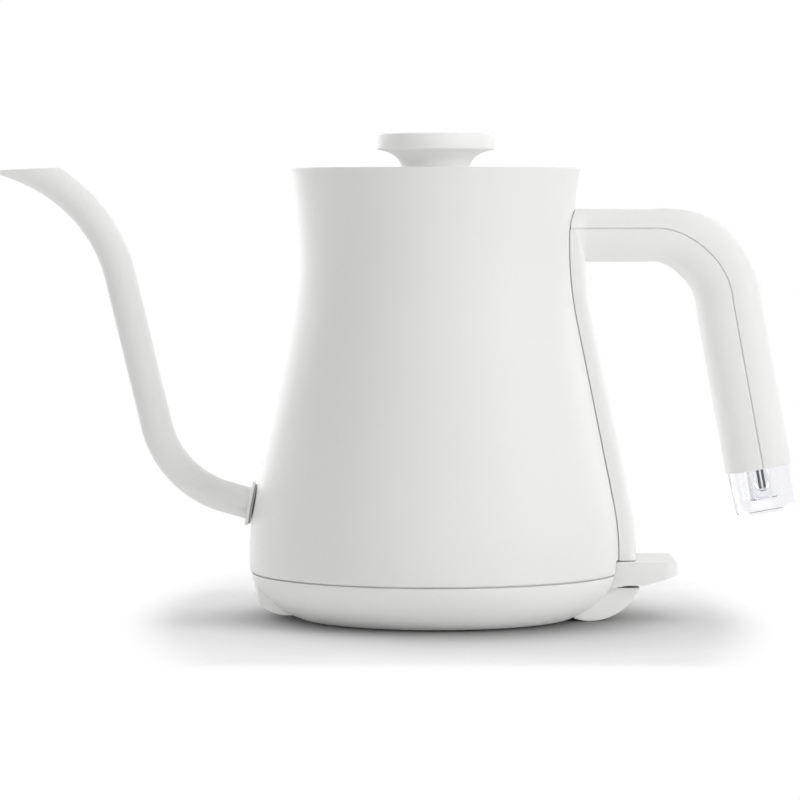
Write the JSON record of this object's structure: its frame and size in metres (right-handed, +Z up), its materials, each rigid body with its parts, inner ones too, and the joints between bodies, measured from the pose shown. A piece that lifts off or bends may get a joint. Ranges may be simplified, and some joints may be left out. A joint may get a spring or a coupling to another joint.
{
  "type": "electric gooseneck kettle",
  "caption": "Waisted electric pour-over kettle with a slim S-shaped spout, an open-ended lever-like handle with a lamp in its tip, a lift-off lid with a disc knob and a sprung switch lever.",
  "frame": {"origin": "on the table, on the body's vertical axis, at the mouth of the round recess in the base", "axes": "+X towards the handle and -X towards the spout, +Y to the side, +Z up"},
  "size_m": [0.2694, 0.126, 0.1637],
  "materials": {
    "white_paint": "matt powder coat",
    "white_plastic": "fine matt moulded",
    "steel": "satin",
    "aluminium": "plain",
    "dark_plastic": "matt moulded",
    "contact_brass": "plain",
    "grey_silicone": "matt",
    "wire_sheath": "matt",
    "bulb_glass": "clear",
    "clear_acrylic": "clear polished"
  },
  "bodies": {
    "kettle": {"body_shell": "white_paint", "spout_tube": "white_paint", "spout_collar": "white_paint", "base_cover": "white_plastic", "handle_inner": "white_plastic", "handle_outer": "white_plastic", "lamp_holder": "white_plastic", "vessel_floor": "steel", "base_pillars": "steel", "base_screws": "steel", "lever_pin": "steel", "lever_spring": "steel", "handle_bracket": "steel", "handle_screws": "steel", "bimetal_disc": "steel", "neon_electrodes": "steel", "heat_spreader": "aluminium", "heater_coil": "aluminium", "control_housing": "dark_plastic", "steam_switch": "dark_plastic", "coupler_contacts": "contact_brass", "spout_seal": "grey_silicone", "steam_tube": "grey_silicone", "foot_pads": "grey_silicone", "lamp_wires": "wire_sheath", "neon_bulb": "bulb_glass", "lamp_lens": "clear_acrylic"},
    "lid": {"lid_cap": "white_paint", "lid_liner": "steel", "lid_seal": "grey_silicone", "lid_knob": "white_plastic", "lid_screw": "steel"},
    "lever": {"switch_lever": "white_plastic"}
  },
  "joints": [
    {"name": "lid_lift", "type": "slide", "parent": "kettle", "child": "lid", "axis": [0, 0, 1], "range_m": [0, 0.1]},
    {"name": "lever_press", "type": "hinge", "parent": "kettle", "child": "lever", "pos_m": [0.0545, 0, 0.0139], "axis": [0, 1, 0], "range_deg": [0, 8], "stiffness_Nm_per_rad": 0.15, "springref_deg": -20.05}
  ]
}
